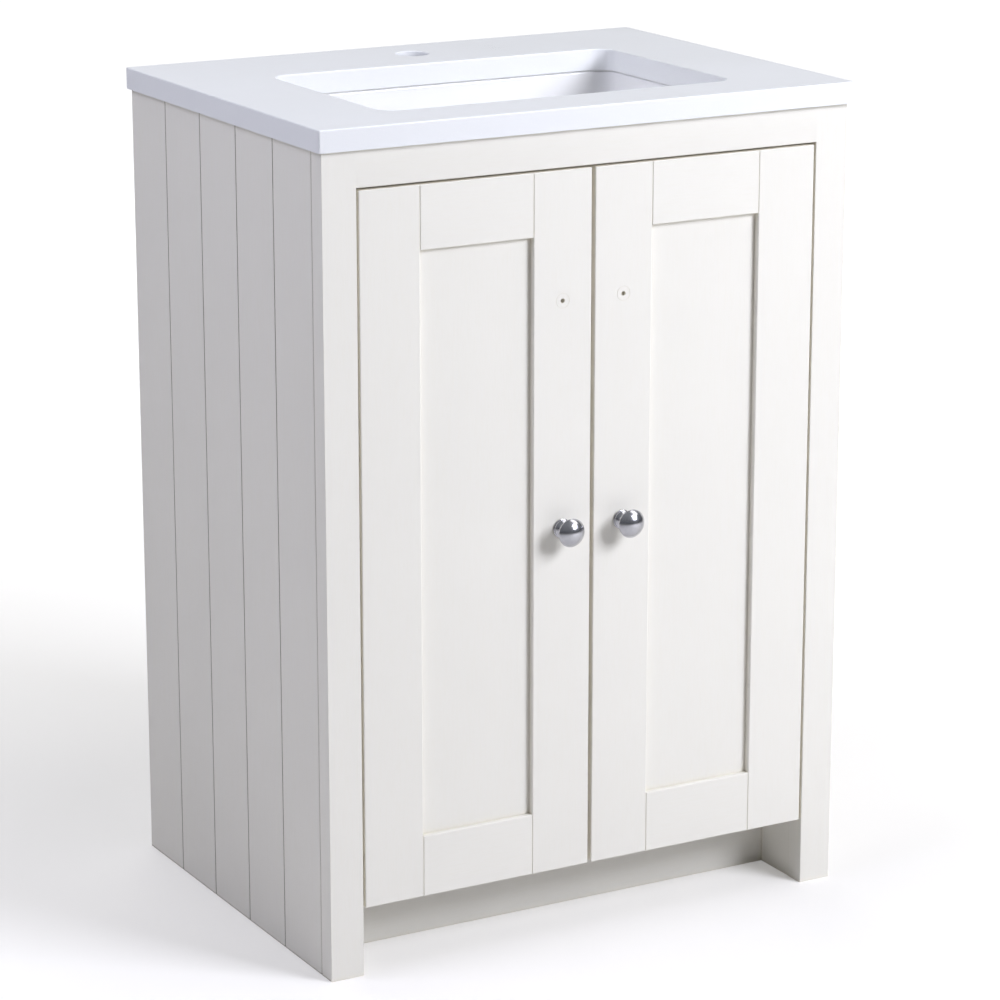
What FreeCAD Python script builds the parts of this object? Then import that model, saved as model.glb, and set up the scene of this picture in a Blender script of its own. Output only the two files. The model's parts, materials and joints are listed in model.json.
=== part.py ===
import FreeCAD, Part
import math
import operator
import os
import Sketcher
from FreeCAD import Placement, Rotation, Vector

# Bathroom vanity cabinet: a face-framed cupboard with two inset shaker doors, a solid-surface
# worktop with one tap hole, and a rectangular basin hung under a cut-out in the worktop.
# Lengths are millimetres. +Z is up, +X is to the right of someone facing the doors, +Y runs
# back to the wall. Heights are counted from the floor and depths (y) from the face frame's
# front face; place() moves them so that the origin is under the middle of the whole object.

os.makedirs("parts", exist_ok=True)
doc = FreeCAD.newDocument("vanity")
sheet = doc.addObject("Spreadsheet::Sheet", "Dims")

DIMENSIONS = dict(
    body_w=589, body_d=435, body_h=828,
    top_w=600, top_d=443, top_t=22, top_front=6.5, top_arris=2,
    frame_t=22, stile_w=36, rail_h=37, side_t=18, board_count=5, vee=2.2, vee_half=0.8,
    side_joint=1.2, door_t=20, door_gap=2.4, meeting_gap=4, door_z=71, member_w=65, door_rail_h=63.5,
    panel_t=6, panel_recess=6.5, tongue=8, arris=1.2, joint_vee=0.8,
    kick_set=74, kick_t=16, kick_h=76, base_t=18,
    batten_d=68, stretcher_t=16, stretcher_drop=20, swing_notch_w=40, swing_notch_d=8,
    back_t=8, back_rail_t=18, back_rail_h=80, back_foot_h=60, fixing_pitch=400, fixing_r=3.25,
    service_w=300, service_z=390, service_h=200, service_r=10,
    shelf_z=330, shelf_t=16, shelf_front=110, shelf_gap=2, shelf_notch_w=220, shelf_notch_d=110,
    shelf_pin_r=2.5, shelf_pin_step=32, shelf_pin_front=150, shelf_pin_back=380,
    cut_w=396, cut_d=250, cut_front=60, cut_r=20, tap_r=17.5, tap_back=59,
    bead_t=1.5, bowl_over=2, bowl_depth=140, bowl_taper=14, bowl_bend=30, bowl_wall=9,
    flange_w=436, flange_d=288, flange_t=12, flange_r=50, waste_r=22.5, waste_boss_r=32,
    waste_boss_h=12,
    clip_w=18, clip_t=1.5, clip_front=120, clip_back=250,
    bracket_w=20, bracket_leg=21, bracket_t=1.6, bracket_front=115, bracket_back=340,
    hinge_inset=100, axis_edge=16, axis_depth=9, pin_r=1.5, pin_play=0.05, pin_half=15.5,
    cup_r=17.5, cup_edge=22.5, cup_floor=5.2, cup_wall=1, cup_fit=0.1, flange_cup_r=19.5,
    cup_screw_edge=32, cup_screw_z=24, arm_w=12, eye_r=2.5, arm_t=2.5, arm_reach=32.5,
    arm_y=29.5, arm_back=74, plate_t=2, plate_y=54, plate_half=12, plate_screw_z=16,
    knob_z=430, knob_r=14.5, knob_base_r=10, knob_rim=20, knob_tip=27.5, knob_neck=9.3,
    knob_screw_r=2, knob_hole_r=2.2, spare_z=660, spare_r=2.25, spare_ring_r=7.5,
    catch_half=28, catch_h=14, catch_d=14, magnet_gap=0.5, strike_t=1.2,
    buffer_r=4, buffer_t=1.5, screw_r=1.75, screw_head_r=3.4, screw_head_h=1.6, screw_l=12,
)

OPERATORS = {"+": operator.add, "-": operator.sub, "*": operator.mul, "/": operator.truediv}


class Dim:
    """A length held both as a number and as the spreadsheet expression that drives it."""

    def __init__(self, value, text):
        self.value = value
        self.text = text

    def __add__(self, other):
        return combine(self, "+", other)

    def __radd__(self, other):
        return combine(other, "+", self)

    def __sub__(self, other):
        return combine(self, "-", other)

    def __rsub__(self, other):
        return combine(other, "-", self)

    def __mul__(self, other):
        return combine(self, "*", other)

    def __rmul__(self, other):
        return combine(other, "*", self)

    def __truediv__(self, other):
        return combine(self, "/", other)

    def __neg__(self):
        return combine(0, "-", self)


def dim(value):
    """Turn a plain number into a Dim; leave a Dim alone."""
    return value if isinstance(value, Dim) else Dim(float(value), "(%.6f)" % value)


def combine(left, sign, right):
    left, right = dim(left), dim(right)
    value = OPERATORS[sign](left.value, right.value)
    return Dim(value, "(%s %s %s)" % (left.text, sign, right.text))


for row, (alias, number) in enumerate(DIMENSIONS.items(), 1):
    sheet.set("A%d" % row, alias)
    sheet.set("B%d" % row, str(number))
    sheet.setAlias("B%d" % row, alias)
doc.recompute()


class Sizes:
    """Each driving dimension as an attribute."""


d = Sizes()
for alias in DIMENSIONS:
    setattr(d, alias, Dim(float(sheet.get(alias)), "Dims." + alias))

# Derived sizes -------------------------------------------------------------------------------
half_body = d.body_w / 2
half_inner = half_body - d.side_t
half_opening = half_body - d.stile_w
door_w = (half_opening * 2 - d.door_gap * 2 - d.meeting_gap) / 2
door_edge = half_opening - d.door_gap
door_h = d.body_h - d.rail_h - d.door_gap - d.door_z
rail_len = door_w - d.member_w * 2
base_top = d.kick_h + d.base_t
back_front = d.body_d - d.back_t
cut_mid = d.cut_front + d.cut_d / 2
tap_y = d.body_d - d.tap_back
stretcher_z = d.body_h - d.rail_h - d.stretcher_drop
arm_u = d.arm_reach - d.arm_t
flange_top = d.body_h - d.bead_t
cup_flange_t = d.strike_t
hinge_heights = (d.door_z + d.hinge_inset, d.door_z + door_h - d.hinge_inset)
middle_y = (d.top_d - d.top_front - d.knob_tip) / 2

nodes = []


# Helpers -------------------------------------------------------------------------------------
def bind(obj, path, value):
    obj.setExpression(path, dim(value).text)


def node(label, obj):
    """Name a finished sub-part and list it for export."""
    obj.Label = label
    nodes.append(obj)
    return obj


def place(obj, x, y, z, turn=None):
    obj.Placement = Placement(Vector(), turn or Rotation())
    bind(obj, "Placement.Base.x", x)
    bind(obj, "Placement.Base.y", y - middle_y)
    bind(obj, "Placement.Base.z", z)
    return obj


def sketch(body, plane, offset=0):
    """A sketch on one of the body's own planes, moved along that plane's normal."""
    sk = body.newObject("Sketcher::SketchObject", body.Name + "_sketch")
    role = plane + "_Plane"
    support = [f for f in body.Origin.OriginFeatures if f.Role == role][0]
    sk.AttachmentSupport = [(support, "")]
    sk.MapMode = "FlatFace"
    bind(sk, "AttachmentOffset.Base.z", offset)
    return sk


def constrain(sk, kind, *args):
    """Add a constraint whose last argument is a Dim, and bind it to the sheet."""
    value = dim(args[-1])
    index = sk.addConstraint(Sketcher.Constraint(kind, *args[:-1], value.value))
    sk.setExpression("Constraints[%d]" % index, value.text)


def outline(sk, points, arcs=None):
    """Draw a closed outline. arcs gives {segment: (radius, side)}: side +1 puts the arc's
    centre to the left of the segment's direction, -1 to its right."""
    arcs = arcs or {}
    first = sk.GeometryCount
    count = len(points)
    flat = [Vector(dim(x).value, dim(y).value, 0) for x, y in points]
    heads, tails = [], []
    for i in range(count):
        a, b = flat[i], flat[(i + 1) % count]
        if i not in arcs:
            sk.addGeometry(Part.LineSegment(a, b), False)
            heads.append(1)
            tails.append(2)
            continue
        radius, side = arcs[i]
        chord = b - a
        normal = Vector(-chord.y, chord.x, 0).normalize() * side
        rise = math.sqrt(max(dim(radius).value ** 2 - (chord.Length / 2) ** 2, 0))
        centre = (a + b) * 0.5 + normal * rise
        start, end = (a, b) if side > 0 else (b, a)
        angles = [math.atan2(p.y - centre.y, p.x - centre.x) for p in (start, end)]
        if angles[1] < angles[0]:
            angles[1] += 2 * math.pi
        circle = Part.Circle(centre, Vector(0, 0, 1), dim(radius).value)
        sk.addGeometry(Part.ArcOfCircle(circle, *angles), False)
        heads.append(1 if side > 0 else 2)
        tails.append(2 if side > 0 else 1)
    for i in range(count):
        j = (i + 1) % count
        sk.addConstraint(Sketcher.Constraint("Coincident", first + i, tails[i], first + j, heads[j]))
    for i, (x, y) in enumerate(points):
        constrain(sk, "DistanceX", -1, 1, first + i, heads[i], x)
        constrain(sk, "DistanceY", -1, 1, first + i, heads[i], y)
    for i, (radius, _side) in arcs.items():
        constrain(sk, "Radius", first + i, radius)


def rectangle(x, y, w, h):
    return [(x, y), (x + w, y), (x + w, y + h), (x, y + h)]


def rounded_rectangle(sk, x, y, w, h, radius):
    """A rectangle about the point x, y with its four corners rounded."""
    left, right = x - w / 2, x + w / 2
    low, high = y - h / 2, y + h / 2
    points = [
        (left + radius, low), (right - radius, low), (right, low + radius), (right, high - radius),
        (right - radius, high), (left + radius, high), (left, high - radius), (left, low + radius),
    ]
    outline(sk, points, {i: (radius, 1) for i in (1, 3, 5, 7)})


def circles(sk, spots, radius):
    for x, y in spots:
        index = sk.GeometryCount
        centre = Vector(dim(x).value, dim(y).value, 0)
        sk.addGeometry(Part.Circle(centre, Vector(0, 0, 1), dim(radius).value), False)
        constrain(sk, "DistanceX", -1, 1, index, 3, x)
        constrain(sk, "DistanceY", -1, 1, index, 3, y)
        constrain(sk, "Radius", index, radius)


def pad(body, sk, length, upside_down=False):
    feature = body.newObject("PartDesign::Pad", body.Name + "_pad")
    feature.Profile = sk
    feature.Reversed = upside_down
    bind(feature, "Length", length)
    sk.Visibility = False
    return feature


def pocket(body, face, offset, draw, depth=None):
    """Cut inwards from a flat face named by its outward direction, at the given offset along
    that axis. Without a depth the cut goes right through."""
    axis, inwards = face[1], {"-": 1, "+": -1}[face[0]]
    plane = {"x": "YZ", "y": "XZ", "z": "XY"}[axis]
    normal = -1 if axis == "y" else 1
    sk = sketch(body, plane, dim(offset) * normal)
    draw(sk)
    feature = body.newObject("PartDesign::Pocket", body.Name + "_pocket")
    feature.Profile = sk
    feature.Reversed = inwards == normal
    if depth is None:
        feature.Type = "ThroughAll"
    else:
        bind(feature, "Length", depth)
    sk.Visibility = False
    return feature


def drill(body, face, offset, spots, radius, depth=None):
    return pocket(body, face, offset, lambda sk: circles(sk, spots, radius), depth)


def edges_at(body, within=None, **planes):
    """Names of the tip's edges that lie wholly in every given plane, such as x=0, y=18, and no
    farther than within from the body's own z axis."""
    doc.recompute()
    reach = dim(within or math.inf).value + 0.01
    found = []
    for index, edge in enumerate(body.Tip.Shape.Edges, 1):
        box = edge.BoundBox
        lows = dict(x=box.XMin, y=box.YMin, z=box.ZMin)
        highs = dict(x=box.XMax, y=box.YMax, z=box.ZMax)
        here = [abs(v - dim(at).value) < 0.01 for k, at in planes.items() for v in (lows[k], highs[k])]
        if all(here) and max(-box.XMin, box.XMax, -box.YMin, box.YMax) < reach:
            found.append("Edge%d" % index)
    return found


def soften(body, kind, amount, edge_sets):
    """Fillet or chamfer the edges picked out by each set of planes."""
    names = []
    for planes in edge_sets:
        names += [name for name in edges_at(body, **planes) if name not in names]
    base = body.Tip
    feature = body.newObject("PartDesign::" + kind, body.Name + "_" + kind.lower())
    feature.Base = (base, names)
    bind(feature, "Radius" if kind == "Fillet" else "Size", amount)
    return feature


def board(label, size, at, turn=None):
    """A rectangular board with its low corner at the local origin."""
    body = node(label, doc.addObject("PartDesign::Body", label))
    sk = sketch(body, "XY")
    outline(sk, rectangle(dim(0), dim(0), size[0], size[1]))
    pad(body, sk, size[2])
    place(body, *at, turn)
    return body


def low_x(side, near, far):
    """Low x of something reaching from near to far on the left (-1) or right (+1) side."""
    return near if side > 0 else -far


def hinge_x(side, near, far):
    """Low x of something reaching from near to far, both counted from a door's hinge edge."""
    return low_x(side, door_edge - far, door_edge - near)


TURNS = {
    "+x": Rotation(Vector(0, 1, 0), 90), "-x": Rotation(Vector(0, 1, 0), -90),
    "+y": Rotation(Vector(1, 0, 0), -90), "-y": Rotation(Vector(1, 0, 0), 90),
    "+z": Rotation(), "-z": Rotation(Vector(1, 0, 0), 180),
}
OPPOSITE = {"+x": "-x", "-x": "+x", "+y": "-y", "-y": "+y", "+z": "-z", "-z": "+z"}


def block(x, y, z, length, width, height):
    """A plain block, used to build up hardware."""
    box = doc.addObject("Part::Box", "block")
    bind(box, "Length", length)
    bind(box, "Width", width)
    bind(box, "Height", height)
    return place(box, x, y, z)


def rod(at, axis, radius, length):
    """A cylinder that starts at a point and runs along an axis."""
    cylinder = doc.addObject("Part::Cylinder", "rod")
    bind(cylinder, "Radius", radius)
    bind(cylinder, "Height", length)
    return place(cylinder, *at, TURNS[axis])


def fuse(parts):
    joined = doc.addObject("Part::MultiFuse", "fusion")
    joined.Shapes = parts
    joined.Refine = True
    return joined


def cut(base, tools):
    result = doc.addObject("Part::Cut", "cut")
    result.Base = base
    result.Tool = tools[0] if len(tools) == 1 else fuse(tools)
    result.Refine = True
    return result


def screws(label, spots, axis, shank_r=d.screw_r, length=d.screw_l, head_r=d.screw_head_r,
           head_h=d.screw_head_h):
    """Pan-head screws in one node; each spot is where the head seats."""
    parts = []
    for index, at in enumerate(spots):
        heading = axis[index % len(axis)]
        parts.append(rod(at, heading, shank_r, length))
        parts.append(rod(at, OPPOSITE[heading], head_r, head_h))
    return node(label, fuse(parts))


SIDES = (("left", -1), ("right", 1))

# Carcass -------------------------------------------------------------------------------------
panel_d = d.body_d - d.frame_t
board_pitch = panel_d / d.board_count
pin_rows = [d.shelf_pin_front - d.frame_t, d.shelf_pin_back - d.frame_t]
pin_heights = [d.shelf_z - d.shelf_pin_r + d.shelf_pin_step * step for step in (-1, 0, 1)]
bracket_rows = [d.bracket_front, d.bracket_back]
bracket_screw_z = d.body_h - d.bracket_leg / 2
bracket_screw_x = half_inner - d.bracket_leg / 2

for name, side in SIDES:
    panel = board("side_panel_" + name, (d.side_t, panel_d, d.body_h),
                  (low_x(side, half_inner, half_body), d.frame_t, 0))
    outer, tip = (0, d.vee) if side < 0 else (d.side_t, d.side_t - d.vee)
    inner, inner_face = (d.side_t, "+x") if side < 0 else (0, "-x")

    def vee_grooves(sk, outer=outer, tip=tip):
        for index in range(1, int(d.board_count.value)):
            y = board_pitch * index
            outline(sk, [(outer, y - d.vee_half), (tip, y), (outer, y + d.vee_half)])

    pocket(panel, "-z", 0, vee_grooves)
    drill(panel, inner_face, inner, [(y, z) for y in pin_rows for z in pin_heights],
          d.shelf_pin_r, 10)
    drill(panel, inner_face, inner, [(y - d.frame_t, bracket_screw_z) for y in bracket_rows],
          d.screw_r, d.screw_l)
    soften(panel, "Chamfer", d.side_joint, [dict(x=outer, y=0)])

for name, side in SIDES:
    stile = board("frame_stile_" + name, (d.stile_w, d.frame_t, d.body_h),
                  (low_x(side, half_opening, half_body), 0, 0))
    outer = 0 if side < 0 else d.stile_w
    soften(stile, "Chamfer", d.side_joint, [dict(x=outer, y=d.frame_t)])
    soften(stile, "Fillet", d.arris, [dict(x=outer, y=0)])

board("frame_top_rail", (half_opening * 2, d.frame_t, d.rail_h),
      (-half_opening, 0, d.body_h - d.rail_h))

stretcher = board("front_stretcher", (half_opening * 2, d.stretcher_t, d.body_h - stretcher_z),
                  (-half_opening, d.frame_t, stretcher_z))
for x in (dim(0), half_opening * 2 - d.swing_notch_w):
    pocket(stretcher, "-y", 0, lambda sk, x=x: outline(sk, rectangle(
        x, -1, d.swing_notch_w, d.stretcher_drop + 1)), d.swing_notch_d)
catch_screw_x = d.catch_half - 3.5
catch_screw_y = d.catch_d / 2
drill(stretcher, "-z", 0, [(half_opening + catch_screw_x * s, catch_screw_y) for s in (-1, 1)],
      1.5, d.screw_l)

plate_rows = [z + d.plate_screw_z * s for z in hinge_heights for s in (-1, 1)]
for name, side in SIDES:
    batten = board("hinge_batten_" + name, (d.side_t, d.batten_d, d.body_h - base_top),
                   (low_x(side, half_opening, half_inner), d.frame_t, base_top))
    inner, inner_face = (d.side_t, "+x") if side < 0 else (0, "-x")
    drill(batten, inner_face, inner,
          [(d.plate_y - d.frame_t, z - base_top) for z in plate_rows], d.screw_r, d.screw_l)

for name, side in SIDES:
    board("plinth_return_" + name, (half_inner - half_opening, d.kick_set - d.frame_t, d.kick_h),
          (low_x(side, half_opening, half_inner), d.frame_t, 0))

board("kickboard", (half_inner * 2, d.kick_t, d.kick_h), (-half_inner, d.kick_set, 0))
base = board("base_panel", (half_inner * 2, back_front - d.frame_t, d.base_t),
             (-half_inner, d.frame_t, d.kick_h))
for x in (dim(-1), half_inner * 2 - d.side_t - d.swing_notch_w):
    pocket(base, "-z", 0, lambda sk, x=x: outline(sk, rectangle(
        x, -1, d.swing_notch_w + d.side_t + 1, d.swing_notch_d + 1)))

back = board("back_panel", (half_inner * 2, d.back_t, d.body_h - d.kick_h),
             (-half_inner, back_front, d.kick_h))
pocket(back, "-y", 0, lambda sk: rounded_rectangle(
    sk, half_inner, d.service_z + d.service_h / 2 - d.kick_h, d.service_w, d.service_h,
    d.service_r))
fixings = [half_inner + d.fixing_pitch / 2 * s for s in (-1, 1)]
fixing_z = d.body_h - d.back_rail_h / 2
drill(back, "-y", 0, [(x, fixing_z - d.kick_h) for x in fixings], d.fixing_r)

rail_y = back_front - d.back_rail_t
upper = board("back_rail_upper", (half_inner * 2, d.back_rail_t, d.back_rail_h),
              (-half_inner, rail_y, d.body_h - d.back_rail_h))
drill(upper, "-y", 0, [(x, d.back_rail_h / 2) for x in fixings], d.fixing_r)
board("back_rail_lower", (half_inner * 2, d.back_rail_t, d.back_foot_h),
      (-half_inner, rail_y, base_top))

shelf_half = half_inner - d.shelf_gap
shelf_d = rail_y - d.shelf_front
shelf = board("shelf", (shelf_half * 2, shelf_d, d.shelf_t),
              (-shelf_half, d.shelf_front, d.shelf_z))
pocket(shelf, "-z", 0, lambda sk: outline(sk, rectangle(
    shelf_half - d.shelf_notch_w / 2, shelf_d - d.shelf_notch_d, d.shelf_notch_w,
    d.shelf_notch_d + 1)))

pins = []
for _name, side in SIDES:
    outwards = "+x" if side > 0 else "-x"
    for y in (d.shelf_pin_front, d.shelf_pin_back):
        z = d.shelf_z - d.shelf_pin_r
        pins.append(rod(((half_inner - 7) * side, y, z), outwards, d.shelf_pin_r, 16))
        pins.append(rod(((half_inner - 1) * side, y, z), outwards, d.shelf_pin_r + 2, 1))
node("shelf_pins", fuse(pins))

# Worktop, basin and what holds them ----------------------------------------------------------
clip_rows = [d.clip_front, d.clip_back]
clip_x = d.flange_w / 2 + 13
top = board("worktop", (d.top_w, d.top_d, d.top_t), (-d.top_w / 2, -d.top_front, d.body_h))
pocket(top, "+z", d.top_t, lambda sk: rounded_rectangle(
    sk, d.top_w / 2, cut_mid + d.top_front, d.cut_w, d.cut_d, d.cut_r))
drill(top, "+z", d.top_t, [(d.top_w / 2, tap_y + d.top_front)], d.tap_r)
drill(top, "-z", 0,
      [(d.top_w / 2 + clip_x * s, y + d.top_front) for s in (-1, 1) for y in clip_rows]
      + [(d.top_w / 2 + bracket_screw_x * s, y + d.top_front) for s in (-1, 1)
         for y in bracket_rows], d.screw_r, d.screw_l)
soften(top, "Fillet", d.top_arris, [dict(x=x, y=y) for x in (0, d.top_w) for y in (0, d.top_d)])
soften(top, "Fillet", d.top_arris - 0.5, [dict(z=d.top_t)])

basin = node("basin", doc.addObject("PartDesign::Body", "basin"))
place(basin, 0, cut_mid, flange_top)
sk = sketch(basin, "XY")
rounded_rectangle(sk, dim(0), dim(0), d.flange_w, d.flange_d, d.flange_r)
pad(basin, sk, d.flange_t, upside_down=True)


def bowl(kind, width, length, corner, depth):
    """A bowl that tapers in towards a rounded bottom, as a loft through level sections."""
    steps = 6
    straight = depth - d.bowl_bend
    levels = [(dim(0), dim(0))]
    for step in range(steps + 1):
        angle = math.pi / 2 * step / steps
        levels.append((straight + d.bowl_bend * math.sin(angle),
                       d.bowl_taper + d.bowl_bend * (1 - math.cos(angle))))
    sections = []
    for drop, inset in levels:
        section = sketch(basin, "XY", -drop)
        rounded_rectangle(section, dim(0), dim(0), width - inset * 2, length - inset * 2,
                          corner + inset * 0.6)
        section.Visibility = False
        sections.append(section)
    doc.recompute()
    loft = basin.newObject("PartDesign::%sLoft" % kind, "basin_loft")
    loft.Profile = sections[0]
    loft.Sections = sections[1:]
    loft.Ruled = True
    return loft


bowl_w = d.cut_w + d.bowl_over * 2
bowl_l = d.cut_d + d.bowl_over * 2
bowl("Additive", bowl_w + d.bowl_wall * 2, bowl_l + d.bowl_wall * 2, d.cut_r + 10,
     d.bowl_depth + d.bowl_wall)
boss = sketch(basin, "XY", -(d.bowl_depth + d.bowl_wall + d.waste_boss_h))
circles(boss, [(0, 0)], d.waste_boss_r)
pad(basin, boss, d.waste_boss_h + d.bowl_wall / 2)
bowl("Subtractive", bowl_w, bowl_l, d.cut_r + d.bowl_over, d.bowl_depth)
drill(basin, "+z", 0, [(0, 0)], d.waste_r)
soften(basin, "Chamfer", 4, [dict(z=-d.bowl_depth, within=d.waste_r)])

bead = node("sealant_bead", doc.addObject("PartDesign::Body", "sealant_bead"))
place(bead, 0, cut_mid, flange_top)
sk = sketch(bead, "XY")
rounded_rectangle(sk, dim(0), dim(0), bowl_w + 24, bowl_l + 24, d.cut_r + 14)
rounded_rectangle(sk, dim(0), dim(0), bowl_w + 1, bowl_l + 1, d.cut_r + d.bowl_over + 0.5)
pad(bead, sk, d.bead_t)

clips, clip_seats = [], []
flange_low = flange_top - d.flange_t
for _name, side in SIDES:
    edge = d.flange_w / 2
    for y in clip_rows:
        low_y = y - d.clip_w / 2
        clips += [
            block(low_x(side, edge - 8, edge + 3), low_y, flange_low - d.clip_t, dim(11), d.clip_w,
                  d.clip_t),
            block(low_x(side, edge + 3 - d.clip_t, edge + 3), low_y, flange_low - d.clip_t,
                  d.clip_t, d.clip_w, d.flange_t + d.bead_t + d.clip_t),
            block(low_x(side, edge + 3 - d.clip_t, edge + 24), low_y, d.body_h - d.clip_t,
                  d.clip_t + 21, d.clip_w, d.clip_t),
        ]
        clip_seats.append((clip_x * side, y, d.body_h - d.clip_t))
clip_holes = [rod((x, y, z - 5), "+z", d.screw_r, 10) for x, y, z in clip_seats]
node("basin_clips", cut(fuse(clips), clip_holes))
screws("basin_clip_screws", clip_seats, ["+z"])

brackets, up_seats, side_seats = [], [], []
for _name, side in SIDES:
    for y in bracket_rows:
        low_y = y - d.bracket_w / 2
        x0 = low_x(side, half_inner - d.bracket_leg, half_inner)
        brackets += [
            block(low_x(side, half_inner - d.bracket_t, half_inner), low_y,
                  d.body_h - d.bracket_leg, d.bracket_t, d.bracket_w, d.bracket_leg),
            block(x0, low_y, d.body_h - d.bracket_t, d.bracket_leg, d.bracket_w, d.bracket_t),
        ]
        up_seats.append((bracket_screw_x * side, y, d.body_h - d.bracket_t))
        side_seats.append(((half_inner - d.bracket_t) * side, y, bracket_screw_z))
bracket_holes = [rod((x, y, z - 5), "+z", d.screw_r, 10) for x, y, z in up_seats]
bracket_holes += [rod((x - 5, y, z), "+x", d.screw_r, 10) for x, y, z in side_seats]
node("corner_brackets", cut(fuse(brackets), bracket_holes))
screws("corner_bracket_screws", up_seats + side_seats,
       ["+z"] * 4 + ["-x"] * 2 + ["+x"] * 2, head_r=d.screw_head_r - 0.4)

# Hinge halves that stay on the cabinet -------------------------------------------------------
for name, side in SIDES:
    inwards = "+x" if side < 0 else "-x"
    outwards = OPPOSITE[inwards]
    plates, plate_holes, arms, arm_holes = [], [], [], []
    for z in hinge_heights:
        gap = d.door_gap
        plates.append(block(hinge_x(side, -gap, d.plate_t - gap), d.plate_y - d.plate_half, z - 22,
                            d.plate_t, d.plate_half * 2, dim(44)))
        seat = (door_edge + gap) * side
        for rise in (-d.plate_screw_z, d.plate_screw_z):
            plate_holes.append(rod((seat, d.plate_y, z + rise), inwards, d.screw_r, 5))
        plate_holes.append(rod((seat, d.plate_y + 8, z), inwards, 2, 5))
        low = z - d.arm_w / 2
        shank_near = d.plate_t - gap
        pin_at = ((door_edge - d.axis_edge) * side, d.axis_depth)
        link_y = d.axis_depth - 1.4
        arms += [
            block(hinge_x(side, shank_near, shank_near + 8), d.arm_y, low, dim(8),
                  d.arm_back - d.arm_y, d.arm_w),
            block(hinge_x(side, shank_near, d.arm_reach), d.arm_y, low, d.arm_reach - shank_near,
                  d.arm_t, d.arm_w),
            block(hinge_x(side, arm_u, d.arm_reach), link_y, low, d.arm_t,
                  d.arm_y + d.arm_t - link_y, d.arm_w),
            block(hinge_x(side, d.axis_edge, d.arm_reach), link_y, low,
                  d.arm_reach - d.axis_edge, dim(2.8), d.arm_w),
            rod((*pin_at, low), "+z", d.eye_r, d.arm_w),
        ]
        arm_holes.append(rod((*pin_at, low - 1), "+z", d.pin_r + d.pin_play, d.arm_w + 2))
        arm_holes.append(rod((seat, d.plate_y + 8, z), inwards, 2, 15))
    node("hinge_plates_" + name, cut(fuse(plates), plate_holes))
    node("hinge_arms_" + name, cut(fuse(arms), arm_holes))

plate_seats, plate_axes, arm_seats, arm_axes = [], [], [], []
for _name, side in SIDES:
    outwards = "+x" if side > 0 else "-x"
    for z in hinge_heights:
        for rise in (-d.plate_screw_z, d.plate_screw_z):
            plate_seats.append(((half_opening - d.plate_t) * side, d.plate_y, z + rise))
            plate_axes.append(outwards)
        arm_seats.append(((half_opening - d.plate_t - 8) * side, d.plate_y + 8, z))
        arm_axes.append(outwards)
screws("hinge_plate_screws", plate_seats, plate_axes)
screws("hinge_arm_screws", arm_seats, arm_axes, shank_r=2, length=dim(9.5), head_r=3.6)

# Magnetic catch ------------------------------------------------------------------------------
catch_z = stretcher_z - d.catch_h
magnet_x = 15
housing = block(-d.catch_half, d.frame_t, catch_z, d.catch_half * 2, d.catch_d, d.catch_h)
recesses = [block(magnet_x * s - dim(5), d.frame_t, catch_z + 3, dim(10), d.catch_d - 2, d.catch_h - 6)
            for s in (-1, 1)]
catch_seats = [(catch_screw_x * s, d.frame_t + catch_screw_y, catch_z) for s in (-1, 1)]
catch_holes = [rod((x, y, z - 1), "+z", 1.5, d.catch_h + 2) for x, y, z in catch_seats]
node("catch_housing", cut(housing, recesses + catch_holes))
node("catch_magnets", fuse([
    block(magnet_x * s - dim(5), d.frame_t - d.magnet_gap, catch_z + 3, dim(10),
          d.catch_d - 2 + d.magnet_gap, d.catch_h - 6) for s in (-1, 1)]))
screws("catch_screws", catch_seats, ["+z"], shank_r=1.5, length=d.catch_h + d.screw_l, head_r=2.6)

# Doors ---------------------------------------------------------------------------------------
FLIP = Rotation(Vector(0, 1, 0), 180)
groove_y = d.panel_recess


def door_stile(label, outer_x, flipped):
    """A full-height door stile, built from its outer edge inwards. Flipped, it is turned end
    for end about the front-to-back axis so that its inner edge faces left."""
    z = d.door_z + door_h if flipped else d.door_z
    body = board(label, (d.member_w, d.door_t, door_h), (outer_x, 0, z),
                 FLIP if flipped else None)
    pocket(body, "-z", 0, lambda sk: outline(sk, rectangle(
        d.member_w - d.tongue, groove_y, d.tongue + 1, d.panel_t)))
    soften(body, "Chamfer", d.joint_vee, [dict(x=d.member_w, y=0)])
    soften(body, "Fillet", d.arris, [dict(x=0, y=0), dict(x=0, y=d.door_t)])
    soften(body, "Fillet", d.arris - 0.4, [dict(y=0, z=0), dict(y=0, z=door_h)])
    return body


def door_rail(label, x, z, groove_low):
    """A door rail with a stub tenon at each end and a groove for the panel."""
    body = node(label, doc.addObject("PartDesign::Body", label))
    place(body, x, 0, z)
    back_y = groove_y + d.panel_t
    zero = dim(0)
    sk = sketch(body, "XY")
    outline(sk, [
        (zero, zero), (rail_len, zero), (rail_len, groove_y), (rail_len + d.tongue, groove_y),
        (rail_len + d.tongue, back_y), (rail_len, back_y), (rail_len, d.door_t), (zero, d.door_t),
        (zero, back_y), (-d.tongue, back_y), (-d.tongue, groove_y), (zero, groove_y),
    ])
    pad(body, sk, d.door_rail_h)
    slot_z = zero if groove_low else d.door_rail_h - d.tongue
    pocket(body, "-x", -d.tongue - 1, lambda sk: outline(sk, rectangle(
        groove_y, slot_z, d.panel_t, d.tongue)))
    outer_z = d.door_rail_h if groove_low else zero
    inner_z = zero if groove_low else d.door_rail_h
    soften(body, "Chamfer", d.joint_vee,
           [dict(x=0, y=0), dict(x=rail_len, y=0), dict(y=0, z=inner_z)])
    soften(body, "Fillet", d.arris - 0.4, [dict(y=0, z=outer_z)])
    return body


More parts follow.
